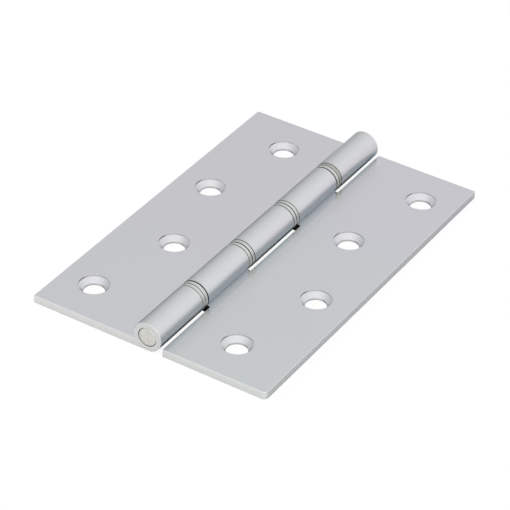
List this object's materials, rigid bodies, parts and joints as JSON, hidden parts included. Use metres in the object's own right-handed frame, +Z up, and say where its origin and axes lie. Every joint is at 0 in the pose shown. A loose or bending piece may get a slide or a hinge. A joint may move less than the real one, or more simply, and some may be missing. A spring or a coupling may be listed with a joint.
{
  "type": "washered butt hinge",
  "caption": "Butt hinge with two flat leaves on a plain pin, paired steel washers between the knuckles and staggered countersunk screw holes, for hanging a door.",
  "frame": {"origin": "under the middle of the pin, on the plane of the leaves' backs, with the hinge lying open and flat", "axes": "+Y along the pin, +X towards the leaf with two knuckles, +Z up, out of the countersunk faces"},
  "size_m": [0.067, 0.102, 0.008],
  "materials": {
    "satin_chrome_on_brass": "satin",
    "pin_steel": "satin",
    "washer_steel": "satin"
  },
  "bodies": {
    "three_knuckle_half": {"three_knuckle_leaf": "satin_chrome_on_brass", "hinge_pin": "pin_steel", "washer_1_near": "washer_steel", "washer_2_far": "washer_steel", "washer_3_near": "washer_steel", "washer_4_far": "washer_steel"},
    "two_knuckle_half": {"two_knuckle_leaf": "satin_chrome_on_brass", "washer_1_far": "washer_steel", "washer_2_near": "washer_steel", "washer_3_far": "washer_steel", "washer_4_near": "washer_steel"}
  },
  "joints": [
    {"name": "leaf_swing", "type": "hinge", "parent": "three_knuckle_half", "child": "two_knuckle_half", "pos_m": [0, 0, 0.004], "axis": [0, -1, 0], "range_deg": [-95, 185]}
  ]
}
